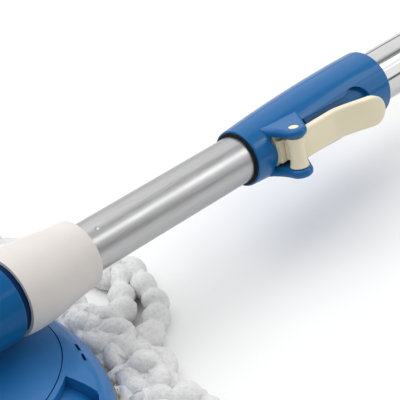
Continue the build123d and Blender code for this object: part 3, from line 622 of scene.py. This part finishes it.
class SPINMOP_OT_finish_joint(Operator):
    """Finishes the tilting joint: the barrel with navy painted shade on its neck, and the cream
    collar
    """

    bl_idname = "spinmop.finish_joint"
    bl_label = "Tilting joint"

    def execute(self, context):
        plastics = context.scene.spinmop_plastics
        barrel, flow = plastic("blue_barrel_painted_shade", roughness=0.36, coat=0.0, shine=0.05, peel=6 * MM)
        up_pole = barrel.along(barrel.place(), PIVOT, SLOPE)
        # Painted shade: the neck between the barrel and the collar is painted navy, and its coat is
        # taken away so it shows no highlight.
        neck_painted_shade = up_pole.between(NECK_START, NECK_START + NECK_SHADE_EDGE)
        # Painted shade: the barrel gets a darker copy of the blue than the housing has.
        blue = barrel.shades(flow, plastics.blue, 0.78, 0.9)
        barrel.vary("Base Color", barrel.mix(neck_painted_shade, blue, plastics.navy))
        barrel.vary("Coat Weight", BARREL_COAT - BARREL_COAT * neck_painted_shade)
        dress(barrel, "joint_barrel")
        cream = moulded("cream_collar", plastics.collar, roughness=0.42, coat=0.05, peel=3 * MM)
        dress(cream, "tube_collar")
        return {"FINISHED"}


class SPINMOP_OT_finish_tubes(Operator):
    """Brushes the lower tube along its length and polishes the upper one"""

    bl_idname = "spinmop.finish_tubes"
    bl_label = "Tubes"

    def brushed(self, metals):
        brushed = Finish("brushed_tube", {"Metallic": 1.0})
        place = brushed.place()
        fine = brushed.scaled(place, (0.012, 1, 1))
        coarse = brushed.scaled(place, (0.02, 1, 1))
        streaks = brushed.noise(fine, metals.grain, detail=3.0, rough=0.6)
        broad = brushed.noise(coarse, 4 * metals.grain, detail=2.0, rough=0.5, seed=0.2)
        smudge = brushed.noise(place, 16 * MM, detail=3.0, rough=0.5, seed=0.5)
        brushed.vary("Base Color", brushed.shades(streaks, metals.brushed, 0.8, 1.2))
        brushed.vary("Roughness", 0.24 + 0.16 * streaks + 0.06 * smudge)
        brushed.bump(streaks + 0.6 * broad, 0.012 * MM)
        return brushed

    def polished(self, metals):
        polished = Finish("polished_tube", {"Metallic": 1.0})
        place = polished.place()
        lines = polished.noise(polished.scaled(place, (0.01, 1, 1)), 0.6 * MM, detail=2.0)
        haze = polished.noise(place, 12 * MM, detail=3.0, rough=0.6, seed=0.4)
        polished.vary("Base Color", polished.shades(haze, metals.polished, 0.96, 1.03))
        polished.vary("Roughness", 0.06 + 0.04 * haze + 0.03 * lines)
        polished.bump(lines, 0.003 * MM)
        return polished

    def execute(self, context):
        metals = context.scene.spinmop_metals
        dress(self.brushed(metals), "lower_tube")
        dress(self.polished(metals), "upper_tube")
        return {"FINISHED"}


class SPINMOP_OT_finish_drive(Operator):
    """Finishes the steel and acetal pieces of the spindle, clutch, socket and joint"""

    bl_idname = "spinmop.finish_drive"
    bl_label = "Spindle and clutch"

    def machined_steel(self, rgb):
        steel = Finish("machined_steel", {"Metallic": 1.0})
        place = steel.place()
        turning = steel.noise(steel.scaled(place, (1, 0.1, 0.1)), 0.5 * MM, detail=2.0)
        marks = steel.noise(place, 5 * MM, detail=4.0, rough=0.6, seed=0.3)
        steel.vary("Base Color", steel.shades(marks, rgb, 0.85, 1.1))
        steel.vary("Roughness", 0.24 + 0.18 * turning + 0.1 * marks)
        steel.bump(turning, 0.01 * MM)
        return steel

    def execute(self, context):
        steel = self.machined_steel(context.scene.spinmop_metals.steel)
        dress(steel, "socket_sleeve", "yoke_screws", "hinge_pin", "housing_screw")
        dress(steel, "clutch_rollers", "drive_nut", "twisted_spindle")
        rgb = context.scene.spinmop_plastics.natural
        natural = moulded("natural_acetal", rgb, roughness=0.45, peel=2 * MM)
        dress(natural, "clutch_body", "clutch_cap", "guide_bush", "spindle_stop", "spindle_plug")
        return {"FINISHED"}


class SPINMOP_OT_finish_lock(Operator):
    """Finishes the tapered lock housing, its wiper, the cam lever and the shoe"""

    bl_idname = "spinmop.finish_lock"
    bl_label = "Lock"

    def execute(self, context):
        plastics = context.scene.spinmop_plastics
        dress(moulded("blue_housing", plastics.blue, roughness=0.36, coat=0.35), "lock_housing")
        cream = moulded("cream_lever", plastics.lever, roughness=0.4, coat=0.08, peel=2.5 * MM)
        dress(cream, "lock_lever", "clamp_shoe")
        dress(moulded("black_wiper", plastics.wiper, roughness=0.6, peel=1 * MM), "wiper_ring")
        return {"FINISHED"}


class SPINMOP_OT_finish_handle(Operator):
    """Finishes the ribbed grip and the end cap"""

    bl_idname = "spinmop.finish_handle"
    bl_label = "Handle"

    def soft_grip(self, rgb):
        grip = Finish("soft_grip", {"Sheen Weight": 0.08})
        place = grip.place()
        grains = grip.noise(place, 0.7 * MM, detail=2.0, rough=0.5)
        worn = grip.noise(place, 18 * MM, detail=3.0, rough=0.6, seed=0.2).between(0.45, 0.75)
        grip.vary("Base Color", grip.shades(worn, rgb, 1.0, 1.5))
        grip.vary("Roughness", 0.62 - 0.14 * worn)
        grip.bump(grains, 0.12 * MM)
        return grip

    def execute(self, context):
        plastics = context.scene.spinmop_plastics
        dress(self.soft_grip(plastics.grip), "handle_grip")
        dress(moulded("blue_end_cap", plastics.blue, roughness=0.24, coat=0.3), "end_cap")
        return {"FINISHED"}


class SPINMOP_OT_set_stage(Operator):
    """Sets the pale floor, the soft lights and the camera"""

    bl_idname = "spinmop.set_stage"
    bl_label = "Stage"

    def studio_air(self, strength):
        """Grey walls, paler behind the pole, a thin gap overhead and a line round the floor."""
        world = bpy.data.worlds.new("studio")
        world.use_nodes = True
        air = Recipe(world.node_tree)
        place = air.node("ShaderNodeTexCoord", output="Generated")
        origin = (0, 0, 0)
        height = air.along(place, origin, (0, 0, 1))
        side = air.along(place, origin, (0, 1, 0))
        gap = side.between(0.02, 0.05) * (1 - side.between(0.08, 0.11))
        walls = air.mix(side.between(0.05, 0.3), FRONT_WALL, BACK_WALL)
        walls = air.mix(gap, walls, WALL_GAP)
        walls = air.mix(height.between(0.02, 0.15), FLOOR_LINE, walls)
        seen = air.node("ShaderNodeLightPath", output="Is Camera Ray")
        sockets = {"Color": air.mix(seen, walls, WHITE), "Strength": strength}
        backdrop = air.node("ShaderNodeBackground", None, sockets)
        air.tree.links.new(backdrop.socket, air.tree.nodes["World Output"].inputs["Surface"])
        return world

    def lay_floor(self, rgb):
        paper = Finish("pale_floor", {"Roughness": 0.9})
        grain = paper.noise(paper.place(), 3 * MM, detail=2.0)
        paper.vary("Base Color", paper.shades(grain, rgb, 0.995, 1.0))
        around = ((-1, -1), (1, -1), (1, 1), (-1, 1))
        corners = [(x * FLOOR_REACH, y * FLOOR_REACH, FLOOR_Z) for x, y in around]
        mesh = bpy.data.meshes.new("floor")
        mesh.from_pydata(corners, [], [(0, 1, 2, 3)])
        mesh.materials.append(paper.material)
        floor = bpy.data.objects.new("floor", mesh)
        bpy.context.scene.collection.objects.link(floor)

    def light(self, name, watts, place, size, target, turn=0):
        """A softbox that faces target, turned about its own axis by some degrees."""
        data = bpy.data.lights.new(name, "AREA")
        data.shape = "RECTANGLE"
        data.size, data.size_y = size
        data.energy = watts
        lamp = bpy.data.objects.new(name, data)
        lamp.location = place
        lamp.rotation_mode = "QUATERNION"
        aim = (Vector(target) - Vector(place)).to_track_quat("-Z", "Y")
        lamp.rotation_quaternion = aim @ Quaternion((0, 0, 1), math.radians(turn))
        bpy.context.scene.collection.objects.link(lamp)

    def hang_lights(self, stage):
        head = (0.15, 0, 0.03)
        lock = (0.25, 0, 0.05)
        pole = (1.08, -0.55)
        end = (1.55, -0.5)
        self.light("overhead", stage.key, (0.1, 0.3, 1.15), (1.2, 1.2), head)
        self.light("long_softbox", stage.streak, (*pole, 1.0), (0.9, 0.42), (*pole, 0), turn=50)
        self.light("far_softbox", stage.far, (*end, 1.0), (0.42, 0.8), (*end, 0))
        self.light("side_softbox", stage.side, (1.4, -0.92, 0.68), (0.9, 0.95), (1.4, 0, 0.68))
        self.light("spark", stage.spark, (1.0, -0.6, 0.98), (0.12, 0.12), lock)

    def place_camera(self, lens):
        camera = bpy.data.objects.new("camera", bpy.data.cameras.new("camera"))
        camera.data.lens = lens
        camera.data.sensor_width = SENSOR_WIDTH
        camera.data.clip_start = CLIP_START
        camera.location = CAMERA_PLACE
        camera.rotation_mode = "QUATERNION"
        camera.rotation_quaternion = Vector(CAMERA_DIRECTION).to_track_quat("-Z", "Y")
        bpy.context.scene.collection.objects.link(camera)
        bpy.context.scene.camera = camera

    def execute(self, context):
        stage = context.scene.spinmop_stage
        context.scene.view_settings.view_transform = "Standard"
        context.scene.world = self.studio_air(stage.sky)
        self.lay_floor(stage.floor)
        self.hang_lights(stage)
        self.place_camera(stage.lens)
        return {"FINISHED"}


# ---- add-on --------------------------------------------------------------------------------
GROUPS = {
    "spinmop_yarn": SPINMOP_PG_yarn,
    "spinmop_plastics": SPINMOP_PG_plastics,
    "spinmop_metals": SPINMOP_PG_metals,
    "spinmop_stage": SPINMOP_PG_stage,
}

OPERATORS = (
    SPINMOP_OT_finish_plate,
    SPINMOP_OT_sew_band,
    SPINMOP_OT_make_yarn,
    SPINMOP_OT_finish_joint,
    SPINMOP_OT_finish_tubes,
    SPINMOP_OT_finish_drive,
    SPINMOP_OT_finish_lock,
    SPINMOP_OT_finish_handle,
    SPINMOP_OT_set_stage,
)


class SPINMOP_PT_sidebar(Panel):
    """Lists the mop's sizes, colours and pieces in the sidebar"""

    bl_idname = "SPINMOP_PT_sidebar"
    bl_label = "Spin Mop"
    bl_space_type = "VIEW_3D"
    bl_region_type = "UI"
    bl_category = "Spin Mop"

    def draw(self, context):
        layout = self.layout
        for group in GROUPS:
            box = layout.box()
            settings = getattr(context.scene, group)
            for name in type(settings).__annotations__:
                box.prop(settings, name)
        for operator in OPERATORS:
            layout.operator(operator.bl_idname, text=operator.bl_label)


def register():
    for group, kind in GROUPS.items():
        bpy.utils.register_class(kind)
        setattr(bpy.types.Scene, group, PointerProperty(type=kind))
    for kind in (*OPERATORS, SPINMOP_PT_sidebar):
        bpy.utils.register_class(kind)


def unregister():
    for kind in (SPINMOP_PT_sidebar, *reversed(OPERATORS)):
        bpy.utils.unregister_class(kind)
    for group, kind in GROUPS.items():
        delattr(bpy.types.Scene, group)
        bpy.utils.unregister_class(kind)


def main():
    register()
    for operator in OPERATORS:
        module, action = operator.bl_idname.split(".")
        getattr(getattr(bpy.ops, module), action)()


if __name__ == "__main__":
    main()
